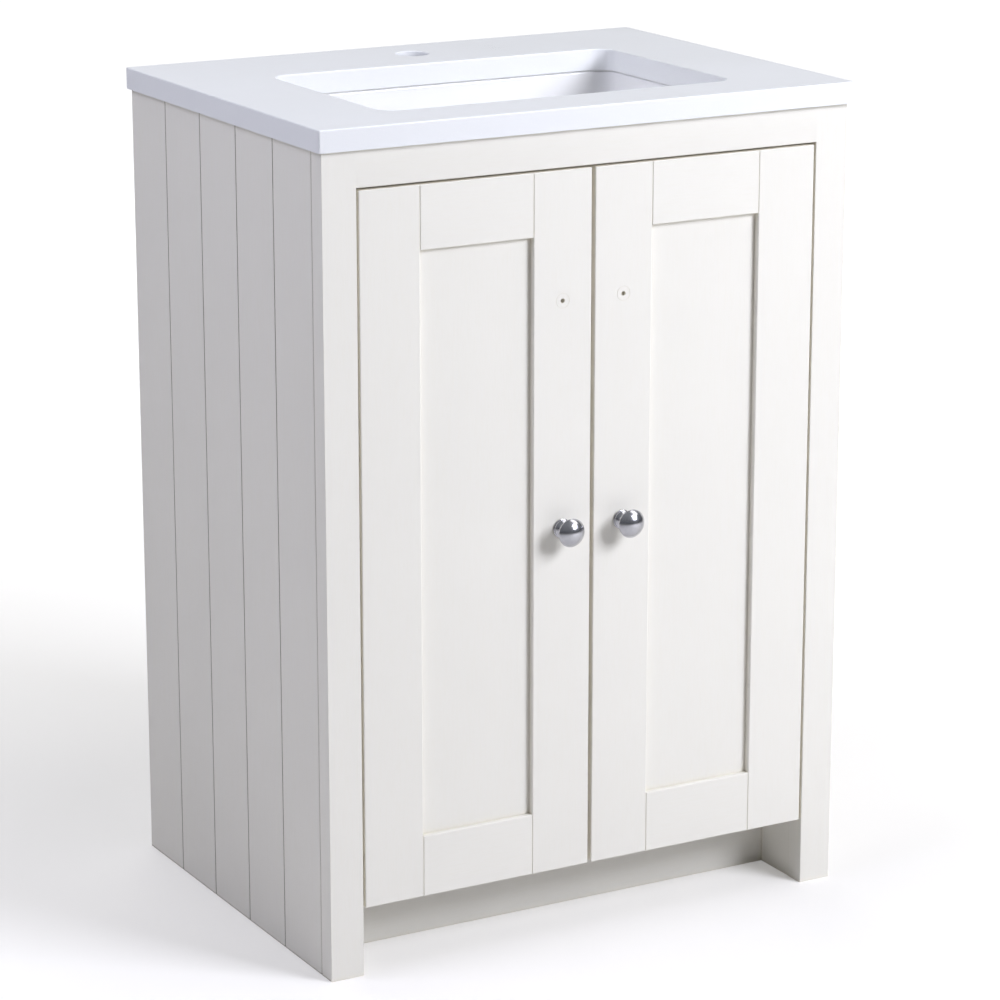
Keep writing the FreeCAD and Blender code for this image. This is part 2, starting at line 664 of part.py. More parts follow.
for name, side in SIDES:
    prefix = name + "_"
    flipped = side > 0
    hinge = door_stile(prefix + "hinge_stile", door_edge * side, flipped)
    cup_spots = [(d.cup_edge, z - d.door_z) for z in hinge_heights]
    drill(hinge, "+y", d.door_t, cup_spots, d.cup_r + d.cup_fit, d.door_t - d.cup_floor)
    cup_screw_spots = [(d.cup_screw_edge, z - d.door_z + rise) for z in hinge_heights
                       for rise in (-d.cup_screw_z, d.cup_screw_z)]
    drill(hinge, "+y", d.door_t, cup_screw_spots, d.screw_r, d.screw_l)

    meeting = door_stile(prefix + "meeting_stile", d.meeting_gap / 2 * side, not flipped)
    heights = [d.knob_z - d.door_z, d.spare_z - d.door_z]
    if not flipped:
        heights = [door_h - z for z in heights]
    centre_x = d.member_w / 2
    drill(meeting, "-y", 0, [(centre_x, heights[0])], d.knob_hole_r)
    drill(meeting, "-y", 0, [(centre_x, heights[1])], d.spare_r)

    def witness_ring(sk, spot=(centre_x, heights[1])):
        circles(sk, [spot], d.spare_ring_r)
        circles(sk, [spot], d.spare_ring_r - 0.4)

    pocket(meeting, "-y", 0, witness_ring, 0.25)

    rail_x = low_x(side, d.meeting_gap / 2 + d.member_w, d.meeting_gap / 2 + d.member_w + rail_len)
    door_rail(prefix + "top_rail", rail_x, d.door_z + door_h - d.door_rail_h, True)
    door_rail(prefix + "bottom_rail", rail_x, d.door_z, False)
    bite = d.tongue - 0.5
    board(prefix + "door_panel",
          (rail_len + bite * 2, d.panel_t, door_h - d.door_rail_h * 2 + bite * 2),
          (rail_x - bite, groove_y, d.door_z + d.door_rail_h - bite))

    # Hinge halves that swing with the door
    shells, hollows, pivots = [], [], []
    cup_x = (door_edge - d.cup_edge) * side
    pin_x = (door_edge - d.axis_edge) * side
    screw_x = (door_edge - d.cup_screw_edge) * side
    flange_far = d.door_t + cup_flange_t
    for z in hinge_heights:
        shells += [
            rod((cup_x, d.cup_floor, z), "+y", d.cup_r, flange_far - d.cup_floor),
            rod((cup_x, d.door_t, z), "+y", d.flange_cup_r, cup_flange_t),
            block(screw_x - 6, d.door_t, z - d.cup_screw_z - 6, dim(12), cup_flange_t,
                  d.cup_screw_z * 2 + 12),
        ]
        inner_floor = d.cup_floor + 0.8
        hollows += [
            rod((cup_x, inner_floor, z), "+y", d.cup_r - d.cup_wall, flange_far - inner_floor + 1),
            rod((pin_x, d.axis_depth, z - 20), "+z", d.pin_r, 40),
        ]
        hollows += [rod((screw_x, d.door_t - 1, z + rise), "+y", d.screw_r, 5)
                    for rise in (-d.cup_screw_z, d.cup_screw_z)]
        pivots.append(rod((pin_x, d.axis_depth, z - d.pin_half), "+z", d.pin_r, d.pin_half * 2))
    node(prefix + "hinge_cups", cut(fuse(shells), hollows))
    node(prefix + "hinge_pins", fuse(pivots))
    screws(prefix + "hinge_cup_screws",
           [(screw_x, flange_far, z + rise) for z in hinge_heights
            for rise in (-d.cup_screw_z, d.cup_screw_z)],
           ["-y"], head_h=dim(1.0))

    # Knob, turned in one piece and held by a screw from inside the door
    knob_x = (d.meeting_gap / 2 + centre_x) * side
    knob = node(prefix + "knob", doc.addObject("PartDesign::Body", prefix + "knob"))
    place(knob, knob_x, 0, d.knob_z, Rotation(Vector(1, 0, 0), 180))
    sk = sketch(knob, "XY")
    rise = d.knob_tip - d.knob_rim
    dome = (d.knob_r * d.knob_r + rise * rise) / (rise * 2)
    outline(sk, [
        (d.knob_screw_r, 0), (d.knob_base_r - 0.6, 0), (d.knob_base_r, 0.8), (d.knob_base_r, 1.8),
        (d.knob_base_r - 1.4, 3.2), (7, d.knob_rim - 4), (d.knob_r - 0.9, d.knob_rim - 1.4),
        (d.knob_r, d.knob_rim), (0, d.knob_tip), (0, 12), (d.knob_screw_r, 12),
    ], {4: (d.knob_neck, -1), 7: (dome, 1)})
    turned = knob.newObject("PartDesign::Revolution", "knob_turned")
    turned.Profile = sk
    turned.ReferenceAxis = (sk, ["V_Axis"])
    turned.Angle = 360
    sk.Visibility = False
    screws(prefix + "knob_screw", [(knob_x, d.door_t, d.knob_z)], ["-y"], shank_r=d.knob_screw_r,
           length=d.door_t + 11, head_r=4, head_h=2.4)

    # Catch plate and buffers on the inside face
    node(prefix + "strike_plate", block(
        low_x(side, dim(magnet_x - 8), dim(magnet_x + 8)), d.door_t, catch_z + 1, dim(16),
        d.strike_t, d.catch_h - 2))
    buffer_x = 42 * side
    node(prefix + "door_buffers", fuse([
        rod((dim(buffer_x), d.door_t, z), "+y", d.buffer_r, d.buffer_t)
        for z in (d.door_z + 14, d.door_z + door_h - 8)]))

# Check and write -----------------------------------------------------------------------------
doc.recompute()
faults = [obj.Name for obj in doc.Objects if {"Invalid", "Error"} & set(obj.State)]
faults += [obj.Label for obj in nodes
           if obj.Shape.isNull() or not obj.Shape.isValid() or not obj.Shape.Solids]
if faults:
    raise RuntimeError("not built: " + ", ".join(faults))
for obj in nodes:
    obj.Shape.exportStep("parts/%s.step" % obj.Label)
    print("%-26s solids %d  volume %.0f" % (obj.Label, len(obj.Shape.Solids), obj.Shape.Volume))
print(len(nodes), "nodes")
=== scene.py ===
import json
import math

import bmesh
import bpy
from mathutils import Matrix, Vector

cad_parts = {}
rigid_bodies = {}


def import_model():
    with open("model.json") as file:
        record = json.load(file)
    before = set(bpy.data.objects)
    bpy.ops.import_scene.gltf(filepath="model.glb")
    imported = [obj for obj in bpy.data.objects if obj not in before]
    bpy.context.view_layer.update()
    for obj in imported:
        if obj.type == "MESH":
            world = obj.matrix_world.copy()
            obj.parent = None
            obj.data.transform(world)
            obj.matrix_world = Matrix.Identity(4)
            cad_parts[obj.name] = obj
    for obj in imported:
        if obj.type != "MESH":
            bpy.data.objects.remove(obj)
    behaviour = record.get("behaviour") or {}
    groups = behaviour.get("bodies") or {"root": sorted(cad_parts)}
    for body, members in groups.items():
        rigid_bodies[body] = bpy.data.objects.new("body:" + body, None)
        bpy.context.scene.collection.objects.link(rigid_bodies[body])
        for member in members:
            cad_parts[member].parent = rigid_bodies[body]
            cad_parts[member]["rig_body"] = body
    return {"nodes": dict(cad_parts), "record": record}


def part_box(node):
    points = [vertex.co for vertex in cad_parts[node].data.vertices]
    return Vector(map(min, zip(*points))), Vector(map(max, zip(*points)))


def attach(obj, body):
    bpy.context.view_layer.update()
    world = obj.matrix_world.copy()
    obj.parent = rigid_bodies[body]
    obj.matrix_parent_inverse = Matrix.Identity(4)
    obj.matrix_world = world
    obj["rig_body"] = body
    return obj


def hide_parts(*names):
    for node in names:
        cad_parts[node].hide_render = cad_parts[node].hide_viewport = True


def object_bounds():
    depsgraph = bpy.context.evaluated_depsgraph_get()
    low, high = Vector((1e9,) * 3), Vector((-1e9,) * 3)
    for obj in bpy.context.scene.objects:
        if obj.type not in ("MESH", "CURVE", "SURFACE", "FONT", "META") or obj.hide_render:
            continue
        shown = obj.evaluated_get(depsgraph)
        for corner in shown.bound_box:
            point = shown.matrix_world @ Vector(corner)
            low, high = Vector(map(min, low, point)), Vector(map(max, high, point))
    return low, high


# Bathroom vanity cabinet: painted cupboard, solid-surface worktop, undermounted basin. Lengths are
# metres in the part's own frame: X to the right, Y towards the wall, Z up, floor at Z = 0.

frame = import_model()
cad_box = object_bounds()
nodes = frame["nodes"]
scene = bpy.context.scene
MM = 0.001
TINY = 1e-6
EVEN = (1, 1, 1)

# Colours are linear. The lights are a little cool, so the ivory paint looks neutral in full light
# and warm where it is lit by its own reflections.
IVORY = (0.832, 0.812, 0.752)
IVORY_DEEP = (0.800, 0.770, 0.680)
# Cream for the paint's sharp edges: partly thinner paint, partly painted shade with warm reflected
# light
CREAM = (0.740, 0.690, 0.560)
# Painted light: warm bounce light painted into gaps and recesses
PAINTED_BOUNCE_GLOW = (0.880, 0.830, 0.700)
# Painted shade: the colour the paint turns towards deep in narrow grooves, gaps and corners
PAINTED_GROOVE_SHADE = (0.230, 0.205, 0.170)
BOARD_WHITE = (0.800, 0.790, 0.750)
STONE_WHITE = (0.845, 0.856, 0.868)
# Pale flecks in the stone, and the painted highlight along its edges
STONE_PALE = (0.890, 0.891, 0.894)
GLAZE_WHITE = (0.870, 0.870, 0.872)
FLOOR_TONES = ((0.80, 0.785, 0.765), (0.78, 0.765, 0.745))


# Materials -----------------------------------------------------------------------------------
# A noise takes its size in metres, its stretch, detail, roughness and seed. A span's numbers are
# the range read and the range written. Relief is in metres.
class Graph:
    """A material and short calls for the nodes that it is made of."""

    def __init__(self, name, colour, roughness=0.5, metallic=0.0, **sockets):
        self.material = bpy.data.materials.new(name)
        self.material.use_nodes = True
        self.tree = self.material.node_tree
        self.shader = self.tree.nodes["Principled BSDF"]
        self.set("Base Color", colour)
        self.set("Roughness", roughness)
        self.set("Metallic", metallic)
        for socket, value in sockets.items():
            self.set(socket.replace("_", " "), value)
        self.place = self.add("ShaderNodeTexCoord").outputs["Object"]

    def add(self, kind, inputs=None, **settings):
        made = self.tree.nodes.new(kind)
        for key, value in settings.items():
            setattr(made, key, value)
        for key, value in (inputs or {}).items():
            self.feed(made.inputs[key], value)
        return made

    def feed(self, socket, value):
        if isinstance(value, bpy.types.NodeSocket):
            self.tree.links.new(value, socket)
        elif isinstance(value, (tuple, list)) and len(value) == 3 and socket.type == "RGBA":
            socket.default_value = (*value, 1.0)
        else:
            socket.default_value = value

    def set(self, socket, value):
        self.feed(self.shader.inputs[socket], value)

    def noise(self, size, stretch=EVEN, detail=3.0, roughness=0.55, seed=0.0):
        """Noise whose features are about size metres wide, longer along a stretched axis."""
        spread = self.add("ShaderNodeMapping", {
            "Vector": self.place, "Location": (seed, seed * 0.7, seed * 0.3),
            "Scale": tuple(1 / s for s in stretch)}, vector_type="POINT")
        made = self.add("ShaderNodeTexNoise", {
            "Vector": spread.outputs[0], "Scale": 1 / size, "Detail": detail,
            "Roughness": roughness})
        return made.outputs["Fac"]

    def specks(self, size, seed=0.0):
        """Distance to the nearest of points about size metres apart."""
        spread = self.add("ShaderNodeMapping", {
            "Vector": self.place, "Location": (seed, seed, seed)}, vector_type="POINT")
        made = self.add("ShaderNodeTexVoronoi", {"Vector": spread.outputs[0], "Scale": 1 / size})
        return made.outputs["Distance"]

    def span(self, value, low, high, to_low=0.0, to_high=1.0):
        """Value moved from the range low to high into another range, and held inside it."""
        made = self.add("ShaderNodeMapRange", {
            "Value": value, "From Min": low, "From Max": high, "To Min": to_low,
            "To Max": to_high})
        return made.outputs["Result"]

    def sum(self, *terms):
        total = terms[0]
        for term in terms[1:]:
            total = self.add("ShaderNodeMath", {0: total, 1: term}, operation="ADD").outputs[0]
        return total

    def times(self, value, factor):
        return self.add("ShaderNodeMath", {0: value, 1: factor}, operation="MULTIPLY").outputs[0]

    def blend(self, factor, first, second):
        made = self.add("ShaderNodeMix", data_type="RGBA")
        self.feed(made.inputs[0], factor)
        self.feed(made.inputs[6], first)
        self.feed(made.inputs[7], second)
        return made.outputs[2]

    def bump(self, height, depth, strength=1.0):
        """Relief of the given depth in metres where height goes from 0 to 1."""
        made = self.add("ShaderNodeBump", {
            "Height": height, "Distance": depth, "Strength": strength})
        self.set("Normal", made.outputs[0])

    def crevice(self, reach, samples=8, closed=0.35, opened=0.85):
        """1 deep in a groove or corner and 0 on an open face."""
        made = self.add("ShaderNodeAmbientOcclusion", {"Distance": reach}, samples=samples)
        return self.span(made.outputs["AO"], closed, opened, 1.0, 0.0)

    def edges(self, radius):
        """1 on a sharp outer edge and 0 away from it."""
        rounded = self.add("ShaderNodeBevel", {"Radius": radius}, samples=6)
        face = self.add("ShaderNodeNewGeometry").outputs["Normal"]
        same = self.add("ShaderNodeVectorMath", {0: rounded.outputs[0], 1: face},
                        operation="DOT_PRODUCT").outputs["Value"]
        return self.span(same, 0.80, 0.99, 1.0, 0.0)


def along_axis(axis, factor):
    """The stretch of a noise that is longer along one axis, x, y or z."""
    return tuple(factor if letter == axis else 1 for letter in "xyz")


def paint(name, along, seed, groove_shade=0.12):
    """Satin ivory spray paint over a board whose faint grain runs along one axis. Groove shade is
    how dark the painted shade turns the paint at the bottom of a narrow groove."""
    g = Graph(name, IVORY, 0.4, IOR=1.46)
    grain = g.noise(0.0016, along_axis(along, 14), 5, 0.6, seed)
    cloud = g.noise(0.13, EVEN, 3, 0.5, seed + 3)
    peel = g.noise(0.0013, EVEN, 2, 0.5, seed + 5)
    body = g.blend(g.span(cloud, 0.35, 0.7), IVORY, tuple(c * 0.985 for c in IVORY))
    body = g.blend(g.span(grain, 0.46, 0.66, 0.0, 0.22), body, IVORY_DEEP)
    # Sharp edges turn cream: partly thinner paint there, partly painted shade with warm reflected
    # light
    body = g.blend(g.times(g.edges(0.0011), 0.30), body, CREAM)
    # Painted light: gaps and recesses up to 7 mm deep turn brighter and warmer, as if lit by light
    # bounced between the paint faces
    body = g.blend(g.times(g.crevice(0.007), 0.60), body, PAINTED_BOUNCE_GLOW)
    # Painted shade: the paint turns darker at the bottom of narrow grooves, gaps and corners
    body = g.blend(g.times(g.crevice(0.0024, 8, 0.5, 0.92), groove_shade), body, PAINTED_GROOVE_SHADE)
    g.set("Base Color", body)
    worn = g.sum(g.times(cloud, 0.5), g.times(grain, 0.5))
    g.set("Roughness", g.span(worn, 0.3, 0.7, 0.34, 0.47))
    g.bump(g.sum(g.times(grain, 0.6), g.times(peel, 0.4)), 0.00009)
    return g.material


def faced_board(name, seed):
    """Matt white melamine with a fine leathery emboss."""
    g = Graph(name, BOARD_WHITE, 0.5)
    emboss = g.noise(0.0009, EVEN, 3, 0.6, seed)
    cloud = g.noise(0.18, EVEN, 2, 0.5, seed + 2)
    dust = g.span(g.specks(0.011, seed), 0.02, 0.05, 0.25, 0.0)
    body = g.blend(g.span(cloud, 0.35, 0.7), BOARD_WHITE, tuple(c * 0.965 for c in BOARD_WHITE))
    body = g.blend(g.times(g.edges(0.0009), 0.35), body, (0.66, 0.60, 0.49))
    # Painted shade: the board turns darker and browner in corners and grooves
    body = g.blend(g.times(g.crevice(0.012), 0.30), body, (0.60, 0.55, 0.45))
    g.set("Base Color", g.blend(dust, body, (0.62, 0.58, 0.50)))
    g.set("Roughness", g.span(emboss, 0.3, 0.7, 0.42, 0.58))
    g.bump(emboss, 0.00012)
    return g.material


def solid_surface(name):
    """Honed white solid surface with fine mineral flecks."""
    g = Graph(name, STONE_WHITE, 0.32, IOR=1.52)
    cloud = g.noise(0.09, EVEN, 4, 0.55, 2.0)
    fleck = g.span(g.specks(0.0022, 1.0), 0.10, 0.26, 0.5, 0.0)
    pale = g.span(g.specks(0.0035, 4.0), 0.08, 0.22, 0.6, 0.0)
    hone = g.noise(0.0007, EVEN, 3, 0.6, 6.0)
    body = g.blend(g.span(cloud, 0.3, 0.7), STONE_WHITE, (0.828, 0.839, 0.855))
    body = g.blend(fleck, body, (0.798, 0.801, 0.814))
    body = g.blend(pale, body, STONE_PALE)
    # Painted highlight: the stone turns paler along its sharp edges
    body = g.blend(g.times(g.edges(0.0016), 0.4), body, STONE_PALE)
    g.set("Base Color", body)
    polish = g.sum(g.times(cloud, 0.4), g.times(hone, 0.6))
    g.set("Roughness", g.span(polish, 0.3, 0.7, 0.27, 0.40))
    g.bump(g.sum(g.times(hone, 0.7), g.times(cloud, 0.3)), 0.00005)
    return g.material


def glaze(name):
    """Gloss white vitreous glaze, very slightly wavy, with pin-point flecks."""
    g = Graph(name, GLAZE_WHITE, 0.08, IOR=1.52, Coat_Weight=0.5, Coat_Roughness=0.04)
    wave = g.noise(0.035, EVEN, 2, 0.4, 1.0)
    cloud = g.noise(0.11, EVEN, 3, 0.5, 4.0)
    pin = g.span(g.specks(0.017, 2.0), 0.012, 0.022, 0.35, 0.0)
    body = g.blend(g.span(cloud, 0.35, 0.7), GLAZE_WHITE, (0.850, 0.852, 0.860))
    g.set("Base Color", g.blend(pin, body, (0.70, 0.69, 0.66)))
    g.set("Roughness", g.span(cloud, 0.3, 0.7, 0.05, 0.13))
    g.bump(wave, 0.00035)
    return g.material


def metal(name, colour, dull, rough_low, rough_high, relief, line=0.0007):
    """Plated metal with fine upright lines and cloudy dulling."""
    g = Graph(name, colour, rough_low, 1.0)
    lines = g.noise(line, along_axis("z", 25), 4, 0.6, 1.0)
    cloud = g.noise(0.012, EVEN, 3, 0.6, 5.0)
    body = g.blend(g.span(cloud, 0.4, 0.75), colour, dull)
    # Painted shade: the metal turns darker in its crevices and hollows
    body = g.blend(g.times(g.crevice(0.003, 4), 0.5), body, tuple(c * 0.45 for c in dull))
    g.set("Base Color", body)
    dullness = g.sum(g.times(cloud, 0.5), g.times(lines, 0.5))
    g.set("Roughness", g.span(dullness, 0.3, 0.7, rough_low, rough_high))
    g.bump(lines, relief)
    return g.material


def moulded(name, colour, tint, rough_low, rough_high, grain):
    """Moulded plastic, rubber or ferrite with a fine even grain."""
    g = Graph(name, colour, rough_low)
    fine = g.noise(grain, EVEN, 3, 0.6, 2.0)
    cloud = g.noise(0.02, EVEN, 2, 0.5, 7.0)
    body = g.blend(g.span(cloud, 0.35, 0.7), colour, tint)
    g.set("Base Color", g.blend(g.times(g.edges(0.0004), 0.3), body, tint))
    g.set("Roughness", g.span(fine, 0.3, 0.7, rough_low, rough_high))
    g.bump(fine, grain * 0.06)
    return g.material


MATERIALS = {
    "paint_upright": paint("paint_upright", "z", 0.0),
    "paint_level": paint("paint_level", "x", 1.7),
    "paint_side": paint("paint_side", "z", 0.9, 0.95),
    "carcass_board": faced_board("carcass_board", 0.5),
    "solid_surface": solid_surface("solid_surface"),
    "basin_ceramic": glaze("basin_ceramic"),
    "sealant": moulded(
        "sealant", (0.80, 0.80, 0.80), (0.72, 0.72, 0.72), 0.25, 0.38, 0.002),
    "zinc_steel": metal(
        "zinc_steel", (0.60, 0.62, 0.65), (0.48, 0.50, 0.52), 0.22, 0.42, 0.00003),
    "hinge_steel": metal(
        "hinge_steel", (0.58, 0.57, 0.55), (0.47, 0.46, 0.44), 0.16, 0.34, 0.00002),
    "knob_chrome": metal(
        "knob_chrome", (0.54, 0.54, 0.565), (0.46, 0.46, 0.49), 0.13, 0.25, 0.000006, 0.0011),
    "catch_plastic": moulded(
        "catch_plastic", (0.72, 0.72, 0.70), (0.62, 0.61, 0.58), 0.38, 0.52, 0.0006),
    "magnet_ferrite": moulded(
        "magnet_ferrite", (0.035, 0.035, 0.038), (0.06, 0.06, 0.06), 0.45, 0.62, 0.0004),
    "buffer_rubber": moulded(
        "buffer_rubber", (0.62, 0.64, 0.66), (0.54, 0.56, 0.58), 0.2, 0.34, 0.0005),
}
# Boards whose grain runs from side to side, and boards whose grooves get strong painted shade
LEVEL_GRAIN = ("frame_top_rail", "kickboard", "left_top_rail", "left_bottom_rail",
               "right_top_rail", "right_bottom_rail")
GROOVED = ("side_panel_left", "side_panel_right")
slots = {part["node"]: part["material_slot"] for part in frame["record"]["subparts"]}


def finish_of(node):
    """The material that a CAD node's surface gets."""
    if node in LEVEL_GRAIN:
        return MATERIALS["paint_level"]
    if node in GROOVED:
        return MATERIALS["paint_side"]
    if slots[node].startswith("painted"):
        return MATERIALS["paint_upright"]
    return MATERIALS[slots[node]]


# CAD nodes that stay -------------------------------------------------------------------------
# How far the sharp edges are rounded, in metres, by material slot
EDGE_SOFTENING = {
    "painted_frame": 0.0007, "painted_side": 0.0006, "painted_door": 0.0005,
    "carcass_board": 0.0005, "solid_surface": 0.0004, "catch_plastic": 0.0006,
    "zinc_steel": 0.00025, "hinge_steel": 0.00025,
}


def soften(obj, width):
    """Merge the flat facets of a board and round its remaining sharp edges."""
    weld = obj.modifiers.new("weld", "WELD")
    weld.merge_threshold = 0.00001
    flat = obj.modifiers.new("flat", "DECIMATE")
    flat.decimate_type = "DISSOLVE"
    flat.angle_limit = math.radians(0.5)
    edge = obj.modifiers.new("edge", "BEVEL")
    edge.width = width
    edge.segments = 3
    edge.limit_method = "ANGLE"
    edge.angle_limit = math.radians(40)
    edge.use_clamp_overlap = True
    shade = obj.modifiers.new("shade", "WEIGHTED_NORMAL")
    shade.keep_sharp = False
    shade.weight = 100


for name, obj in nodes.items():
    obj.data.materials.clear()
    obj.data.materials.append(finish_of(name))
    if slots[name] in EDGE_SOFTENING:
        soften(obj, EDGE_SOFTENING[slots[name]])


# New pieces ----------------------------------------------------------------------------------
def piece(name, mesh_maker, materials, stands_for, smooth_angle):
    """Make a mesh piece that stands for CAD nodes of one body and rides on that body."""
    bm = bmesh.new()
    mesh_maker(bm)
    bmesh.ops.recalc_face_normals(bm, faces=bm.faces)
    mesh = bpy.data.meshes.new(name)
    bm.to_mesh(mesh)
    bm.free()
    obj = bpy.data.objects.new(name, mesh)
    scene.collection.objects.link(obj)
    for material in materials:
        mesh.materials.append(material)
    mesh.shade_smooth()
    mesh.set_sharp_from_angle(angle=math.radians(smooth_angle))
    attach(obj, nodes[stands_for[0]]["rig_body"])
    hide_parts(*stands_for)


def ring(bm, points):
    """New corners of a mesh, one for each point."""
    return [bm.verts.new(point) for point in points]


def skin(bm, rings, closed=False):
    """Join each ring of points to the next with quads."""
    pairs = list(zip(rings, rings[1:]))
    if closed:
        pairs.append((rings[-1], rings[0]))
    for a, b in pairs:
        count = len(a)
        for i in range(count):
            j = (i + 1) % count
            bm.faces.new((a[i], a[j], b[j], b[i]))


def arc(centre, radius, start, end, steps):
    """Points on an arc in a profile's plane, angles in degrees."""
    made = []
    for step in range(steps + 1):
        angle = math.radians(start + (end - start) * step / steps)
        made.append((centre[0] + radius * math.cos(angle), centre[1] + radius * math.sin(angle)))
    return made


def lathe(bm, profile, centre, axis, count):
    """Turn a profile of (radius, distance along the axis) about an axis."""
    side = axis.orthogonal().normalized()
    other = axis.cross(side)
    rings = []
    for radius, along in profile:
        rings.append(ring(bm, [
            centre + axis * along + side * (radius * math.cos(math.tau * i / count))
            + other * (radius * math.sin(math.tau * i / count)) for i in range(count)]))
    skin(bm, rings, closed=True)


# Knobs: turned in one piece, a flared foot, a waisted neck and a domed head with a thin rim
KNOB_LENGTH = 27.5


def knob_profile():
    """(radius, distance from the door) in millimetres, from the screw hole outwards."""
    hole_r, hole_depth = 2.1, 11.5
    foot_r, foot_round = 10.0, 0.9
    waist_centre, waist_r = (14.6, 10.6), 9.3
    head_r, rim_at, rim_half, rim_round, dome_inset = 14.5, 20.0, 0.2, 0.6, 0.35
    foot = arc((foot_r - foot_round, foot_round), foot_round, -90, 90, 8)
    waist = arc(waist_centre, waist_r, 233, 143, 24)
    rim = arc((head_r - rim_round, rim_at - rim_half), rim_round, -75, 40, 8)
    rise = KNOB_LENGTH - rim_at - rim_half
    dome_r = (head_r ** 2 + rise ** 2) / (2 * rise)
    lean = math.asin((head_r - dome_inset) / dome_r)
    dome = []
    dome_steps = 28
    for step in range(1, dome_steps - 1):
        angle = lean * (1 - step / dome_steps)
        dome.append((dome_r * math.sin(angle), KNOB_LENGTH - dome_r * (1 - math.cos(angle))))
    pin_point = (0.05, KNOB_LENGTH)
    return [(hole_r, hole_depth), (hole_r, 0.0), *foot, *waist, *rim, *dome, pin_point]


def make_knob(node):
    """A turned knob that fills the node's box from the door outwards."""
    low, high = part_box(node)
    centre = Vector(((low.x + high.x) / 2, high.y, (low.z + high.z) / 2))
    scale = (high.y - low.y) / KNOB_LENGTH
    profile = [(r * scale, h * scale) for r, h in knob_profile()]
    piece(node + "_turned", lambda bm: lathe(bm, profile, centre, Vector((0, -1, 0)), 128),
          [MATERIALS["knob_chrome"]], [node], 35)


for side in ("left", "right"):
    make_knob(side + "_knob")


# Basin: one lofted shell with a rounded lip, a swept floor and a waste hole
def rounded_ring(half_x, half_y, corner, z, centre, per_corner=12, per_side=10):
    """Points of a rounded rectangle, the same number whatever its size."""
    points = []
    for quarter, (sx, sy) in enumerate(((1, 1), (-1, 1), (-1, -1), (1, -1))):
        cx, cy = sx * (half_x - corner), sy * (half_y - corner)
        for step in range(per_corner + 1):
            angle = math.radians(90 * quarter + 90 * step / per_corner)
            points.append((cx + corner * math.cos(angle), cy + corner * math.sin(angle)))
        nx, ny = ((-1, 1), (-1, -1), (1, -1), (1, 1))[quarter]
        ahead = (nx * (half_x - corner), ny * (half_y - corner))
        angle = math.radians(90 * quarter + 90)
        start = points[-1]
        stop = (ahead[0] + corner * math.cos(angle), ahead[1] + corner * math.sin(angle))
        for step in range(1, per_side):
            t = step / per_side
            points.append(tuple(a + (b - a) * t for a, b in zip(start, stop)))
    return [Vector((centre.x + x, centre.y + y, z)) for x, y in points]


def toward_circle(points, centre, radius, z, share):
    """Move a ring's points towards a circle by a share of the way."""
    made = []
    for p in points:
        angle = math.atan2(p.y - centre.y, p.x - centre.x)
        target = Vector((centre.x + radius * math.cos(angle), centre.y + radius * math.sin(angle)))
        flat = Vector((p.x, p.y)).lerp(target, share)
        made.append(Vector((flat.x, flat.y, z)))
    return made


def quarter_turn(steps, first=0):
    """Angles in radians from 0 to 90 degrees in equal steps, without those before the first."""
    return [math.radians(90 * step / steps) for step in range(first, steps + 1)]


